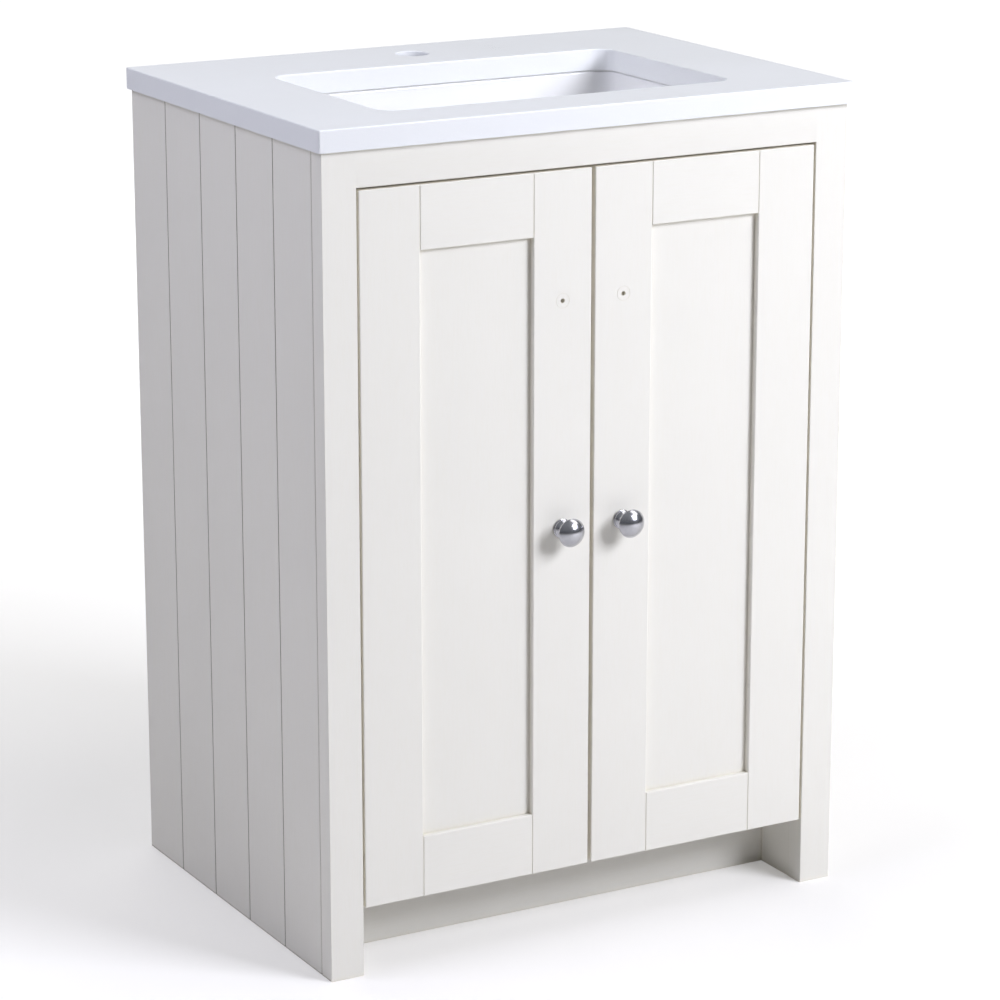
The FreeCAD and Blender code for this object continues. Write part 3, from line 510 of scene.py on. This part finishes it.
def basin_mesh(bm):
    """The shell's section from the rim down the bowl and the waste, and back up outside."""
    low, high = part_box("basin")
    centre = Vector(((low.x + high.x) / 2, (low.y + high.y) / 2, 0))
    top = high.z
    half_cut_x, half_cut_y, overhang = 198 * MM, 125 * MM, 2 * MM
    mouth_x, mouth_y, corner = half_cut_x + overhang, half_cut_y + overhang, 22 * MM
    depth, bend, taper, wall = 140 * MM, 30 * MM, 14 * MM, 9 * MM
    straight = depth - bend
    lip, floor_fall = 2.2 * MM, 2.5 * MM
    waste_r, waste_round, boss_r, boss_h, boss_edge = 22.5 * MM, 4 * MM, 32 * MM, 12 * MM, 1 * MM
    flange_x, flange_y = (high.x - low.x) / 2, (high.y - low.y) / 2
    flange_corner, flange_round, under = 50 * MM, 2.5 * MM, 12 * MM
    collar_in, collar_out, collar_drop = 2 * MM, 3 * MM, 18.6 * MM

    def bowl(inset, drop, grow=0.0):
        return rounded_ring(mouth_x - inset + grow, mouth_y - inset + grow,
                            corner + inset * 0.6 + grow, top - drop, centre)

    def flange(inset, z):
        return rounded_ring(flange_x - inset, flange_y - inset, flange_corner - inset, z, centre)

    rings = [bowl(-lip * (1 - math.sin(angle)), lip * (1 - math.cos(angle)))
             for angle in quarter_turn(4)]
    wall_steps = 8
    for step in range(1, wall_steps + 1):
        share = step / wall_steps
        rings.append(bowl(taper * share, lip + (straight - lip) * share))
    for angle in quarter_turn(12, 1):
        rings.append(bowl(taper + bend * (1 - math.cos(angle)),
                          straight + (bend - floor_fall) * math.sin(angle)))

    floor = rings[-1]
    floor_steps = 8
    for step in range(1, floor_steps + 1):
        way = step / floor_steps
        sag = floor_fall * way ** 1.5
        rings.append(toward_circle(floor, centre, waste_r + waste_round,
                                   top - depth + floor_fall - sag, way ** 0.8))

    def tube(radius, z):
        rings.append(toward_circle(floor, centre, radius, z, 1.0))

    for angle in quarter_turn(5, 1):
        tube(waste_r + waste_round * (1 - math.sin(angle)),
             top - depth - waste_round * (1 - math.cos(angle)))
    boss_high = top - depth - wall
    boss_low = boss_high - boss_h
    tube(waste_r, boss_low)
    tube(boss_r - boss_edge, boss_low)
    tube(boss_r, boss_low + boss_edge)
    tube(boss_r, boss_high)

    outer_floor = bowl(taper + bend, depth + wall, wall)
    for share in (0.75, 0.375, 0.0):
        rings.append(toward_circle(outer_floor, centre, boss_r, boss_high, share))
    for angle in quarter_turn(12)[-2::-1]:
        rings.append(bowl(taper + bend * (1 - math.cos(angle)),
                          straight + (bend + wall) * math.sin(angle), wall))
    rings.append(bowl(collar_in, collar_drop, wall))
    rings.append(bowl(-collar_out, under, wall))
    rings.append(flange(flange_round, top - under))
    rings.append(flange(0.0, top - under + flange_round))
    rings.append(flange(0.0, top - flange_round))
    rings.append(flange(flange_round, top))
    skin(bm, [ring(bm, points) for points in rings], closed=True)


piece("basin_shell", basin_mesh, [MATERIALS["basin_ceramic"]], ["basin"], 60)


# Face frame: the two posts and the top rail are filled and painted as one
def frame_mesh(bm):
    """An outline pushed from front to back, with a narrow slot behind each post's outer edge."""
    left_low, left_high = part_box("frame_stile_left")
    right_low, right_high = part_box("frame_stile_right")
    rail_low, rail_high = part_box("frame_top_rail")
    front, back = left_low.y, left_high.y
    spots = [
        (left_low.x, left_low.z), (left_high.x, left_low.z), (left_high.x, rail_low.z),
        (right_low.x, rail_low.z), (right_low.x, left_low.z), (right_high.x, left_low.z),
        (right_high.x, rail_high.z), (right_low.x, rail_high.z), (left_high.x, rail_high.z),
        (left_low.x, rail_high.z),
    ]
    inner_round, outer_round = 0.8 * MM, 1.3 * MM
    joint_width, joint_depth = 0.9 * MM, 2.2 * MM
    outside = {left_low.x: joint_depth, right_high.x: -joint_depth}
    near = ring(bm, [Vector((x, front, z)) for x, z in spots])
    rear = ring(bm, [Vector((x, back - joint_width, z)) for x, z in spots])
    far = ring(bm, [Vector((x + outside.get(x, 0.0), back, z)) for x, z in spots])
    for points in (near, far):
        bm.faces.new([points[i] for i in (0, 1, 2, 8, 9)])
        rail = bm.faces.new([points[i] for i in (2, 3, 7, 8)])
        rail.material_index = 1
        bm.faces.new([points[i] for i in (3, 4, 5, 6, 7)])
    skin(bm, [near, rear, far])
    inner = [bm.edges.get((near[i], near[i + 1])) for i in (1, 2, 3)]
    outer = [bm.edges.get((near[i], near[j])) for i, j in ((0, 9), (5, 6))]
    bmesh.ops.bevel(bm, geom=inner, offset=inner_round, segments=3, profile=0.5, affect="EDGES")
    bmesh.ops.bevel(bm, geom=outer, offset=outer_round, segments=4, profile=0.5, affect="EDGES")
    outer_paint_from = front + 4 * MM
    for face in bm.faces:
        spot = face.calc_center_median()
        edge_gap = min(abs(spot.x - left_low.x), abs(spot.x - right_high.x))
        if edge_gap < outer_round and spot.y > outer_paint_from:
            face.material_index = 2


piece("face_frame", frame_mesh,
      [MATERIALS["paint_upright"], MATERIALS["paint_level"], MATERIALS["paint_side"]],
      ["frame_stile_left", "frame_stile_right", "frame_top_rail"], 30)


# Screws: pan heads with a cross recess
def islands(node):
    """The separate solids of a CAD node, each as a list of its corners."""
    bm = bmesh.new()
    bm.from_mesh(nodes[node].data)
    bmesh.ops.remove_doubles(bm, verts=bm.verts, dist=TINY)
    left = set(bm.verts)
    found = []
    while left:
        frontier = [left.pop()]
        group = []
        while frontier:
            vert = frontier.pop()
            group.append(vert.co.copy())
            for edge in vert.link_edges:
                other = edge.other_vert(vert)
                if other in left:
                    left.remove(other)
                    frontier.append(other)
        found.append(group)
    bm.free()
    return sorted(found, key=lambda group: tuple(round(c, 5) for c in min(group, key=tuple)))


def screw_facts(corners):
    """Middle of the head's top, direction the head faces, and radii and lengths of one screw."""
    low = Vector(map(min, zip(*corners)))
    high = Vector(map(max, zip(*corners)))
    size = high - low
    axis = max(range(3), key=lambda k: size[k])
    centre = (low + high) / 2

    def reach(at):
        near = [p for p in corners if abs(p[axis] - at) < 1e-5]
        return max(math.dist([p[k] for k in range(3) if k != axis],
                             [centre[k] for k in range(3) if k != axis]) for p in near)

    top_is_high = reach(high[axis]) > reach(low[axis])
    top, tip = (high[axis], low[axis]) if top_is_high else (low[axis], high[axis])
    seat = min((p[axis] for p in corners if abs(p[axis] - top) > 1e-5),
               key=lambda value: abs(value - top))
    facing = Vector((0, 0, 0))
    facing[axis] = 1 if top_is_high else -1
    where = centre.copy()
    where[axis] = top
    return where, facing, reach(top), reach(tip), abs(top - seat), abs(top - tip)


def cross_head(head_r, shank_r, head_h, length):
    """A screw pointing down with the middle of its head's top at the origin."""
    crown, rim_drop, point_r = 0.45 * head_h, 0.55 * head_h, 0.1 * shank_r
    slot_length, slot_width = 1.15 * head_r, 0.26 * head_r
    slot_depth, slot_taper = 1.3 * head_h, 0.55
    bm = bmesh.new()
    dome = [(head_r * math.sin(math.radians(a)), -crown * (1 - math.cos(math.radians(a))))
            for a in (4, 20, 36, 52, 68, 80)]
    profile = [*dome, (head_r, -rim_drop), (head_r, -head_h), (shank_r, -head_h),
               (shank_r, -length + 1.5 * shank_r), (point_r, -length)]
    lathe(bm, profile, Vector(), Vector((0, 0, 1)), 28)
    bmesh.ops.recalc_face_normals(bm, faces=bm.faces)
    mesh = bpy.data.meshes.new("screw")
    bm.to_mesh(mesh)
    bm.clear()
    for turn in (0, 90):
        spin = Matrix.Rotation(math.radians(turn), 4, "Z")
        shape = Matrix.Diagonal((slot_length, slot_width, slot_depth, 1))
        made = bmesh.ops.create_cube(bm, size=1.0, matrix=spin @ shape)["verts"]
        for vert in made:
            if vert.co.z < 0:
                vert.co.x *= slot_taper
                vert.co.y *= slot_taper
    tool_mesh = bpy.data.meshes.new("recess")
    bm.to_mesh(tool_mesh)
    bm.free()
    body = bpy.data.objects.new("screw", mesh)
    tool = bpy.data.objects.new("recess", tool_mesh)
    for obj in (body, tool):
        scene.collection.objects.link(obj)
    hollow = body.modifiers.new("recess", "BOOLEAN")
    hollow.operation, hollow.solver, hollow.object = "DIFFERENCE", "EXACT", tool
    hollow.use_self = True
    bpy.context.view_layer.update()
    graph = bpy.context.evaluated_depsgraph_get()
    done = bpy.data.meshes.new_from_object(body.evaluated_get(graph))
    for obj in (body, tool):
        bpy.data.objects.remove(obj)
    return done


def make_screws(node):
    """One piece with a cross-head screw for each solid of the node."""
    facts = [screw_facts(group) for group in islands(node)]
    template = cross_head(*[max(fact[k] for fact in facts) for k in (2, 3, 4, 5)])

    def mesh_maker(bm):
        for index, (where, facing, *_sizes) in enumerate(facts):
            turn = facing.to_track_quat("Z", "Y").to_matrix().to_4x4()
            spin = Matrix.Rotation(math.radians(37 * index + 20), 4, "Z")
            moved = template.copy()
            moved.transform(Matrix.Translation(where) @ turn @ spin)
            bm.from_mesh(moved)
            bpy.data.meshes.remove(moved)

    piece(node + "_crosshead", mesh_maker, [finish_of(node)], [node], 35)


for name in sorted(nodes):
    if name.endswith(("screws", "screw")):
        make_screws(name)


# Stage, lights and camera --------------------------------------------------------------------
middle = (cad_box[0] + cad_box[1]) / 2


def make_floor():
    """A pale floor that the camera sees turn white away from the object."""
    g = Graph("studio_floor", FLOOR_TONES[0], 0.75, Emission_Color=(1.0, 1.0, 1.0))
    cloud = g.noise(0.4, EVEN, 2, 0.5, 1.0)
    g.set("Base Color", g.blend(cloud, *FLOOR_TONES))
    near, far, near_glow, far_glow = 0.5, 3.5, 0.22, 1.0
    away = g.add("ShaderNodeVectorMath", {0: g.place}, operation="LENGTH").outputs["Value"]
    seen = g.add("ShaderNodeLightPath").outputs["Is Camera Ray"]
    glow = g.span(away, near, far, near_glow, far_glow)
    g.set("Emission Strength", g.times(seen, glow))
    mesh = bpy.data.meshes.new("floor")
    reach = 14.0
    corners = [(-reach, -reach, 0), (reach, -reach, 0), (reach, reach, 0), (-reach, reach, 0)]
    mesh.from_pydata(corners, [], [(0, 1, 2, 3)])
    mesh.materials.append(g.material)
    obj = bpy.data.objects.new("floor", mesh)
    scene.collection.objects.link(obj)


def softbox(name, azimuth, elevation, distance, size, power, colour, in_gloss=True):
    """A rectangular soft light aimed at the object's middle. Azimuth is counted in degrees from
    straight in front of the doors, to the right. Power is in watts."""
    data = bpy.data.lights.new(name, "AREA")
    data.shape = "RECTANGLE"
    data.size, data.size_y = size
    data.energy = power
    data.color = colour
    obj = bpy.data.objects.new(name, data)
    a, e = math.radians(azimuth), math.radians(elevation)
    away = Vector((math.sin(a) * math.cos(e), -math.cos(a) * math.cos(e), math.sin(e)))
    obj.location = middle + away * distance
    obj.rotation_mode = "QUATERNION"
    obj.rotation_quaternion = away.to_track_quat("Z", "Y")
    obj.visible_glossy = in_gloss
    scene.collection.objects.link(obj)


def mix_colours(tree, factor, first, second):
    """First colour where the factor is 0, second where it is 1."""
    mix = tree.nodes.new("ShaderNodeMix")
    mix.data_type = "RGBA"
    for index, value in ((0, factor), (6, first), (7, second)):
        if isinstance(value, bpy.types.NodeSocket):
            tree.links.new(value, mix.inputs[index])
        else:
            mix.inputs[index].default_value = value
    return mix.outputs[2]


def make_world():
    """White to the camera, a soft grey ramp in reflections, and almost no light of its own."""
    world = bpy.data.worlds.new("studio")
    world.use_nodes = True
    scene.world = world
    tree = world.node_tree
    back = tree.nodes["Background"]
    back.inputs["Strength"].default_value = 1.0
    where = tree.nodes.new("ShaderNodeTexCoord")
    split = tree.nodes.new("ShaderNodeSeparateXYZ")
    tree.links.new(where.outputs["Generated"], split.inputs[0])
    ramp = tree.nodes.new("ShaderNodeValToRGB")
    tree.links.new(split.outputs["Z"], ramp.inputs[0])
    stops = ramp.color_ramp.elements
    stops[0].position, stops[0].color = 0.0, (0.13, 0.135, 0.15, 1)
    stops[1].position, stops[1].color = 0.8, (0.30, 0.31, 0.33, 1)
    rays = tree.nodes.new("ShaderNodeLightPath").outputs
    mirrored = mix_colours(tree, rays["Is Glossy Ray"], (0.01, 0.01, 0.011, 1), ramp.outputs[0])
    shown = mix_colours(tree, rays["Is Camera Ray"], mirrored, (1.0, 1.0, 1.0, 1))
    tree.links.new(shown, back.inputs["Color"])


def make_camera():
    """The photograph's viewing angle, from the left of the doors and above."""
    data = bpy.data.cameras.new("camera")
    data.lens = 132.2
    data.sensor_width = 36.0
    data.clip_end = 60.0
    obj = bpy.data.objects.new("camera", data)
    turn_right, tilt_down = math.radians(29.22), math.radians(15.41)
    level = math.cos(tilt_down)
    forward = Vector((math.sin(turn_right) * level, math.cos(turn_right) * level,
                      -math.sin(tilt_down)))
    obj.location = (-1.7939, -3.2250, 1.4223)
    obj.rotation_mode = "QUATERNION"
    obj.rotation_quaternion = forward.to_track_quat("-Z", "Y")
    scene.collection.objects.link(obj)
    scene.camera = obj


make_floor()
make_world()
make_camera()
softbox("key", 32, 29, 3.2, (1.25, 1.25), 94, (0.895, 0.915, 1.0))
softbox("high_right", 58, 50, 3.0, (1.2, 2.1), 15, (1.0, 0.98, 0.97))
softbox("back_fill", 180, 60, 3.5, (3.0, 3.0), 66, (0.99, 0.995, 0.97), in_gloss=False)
softbox("left_fill", -90, 40, 2.2, (1.2, 1.2), 21, (0.84, 0.85, 1.0), in_gloss=False)
scene.view_settings.view_transform = "Standard"
scene.view_settings.look = "None"
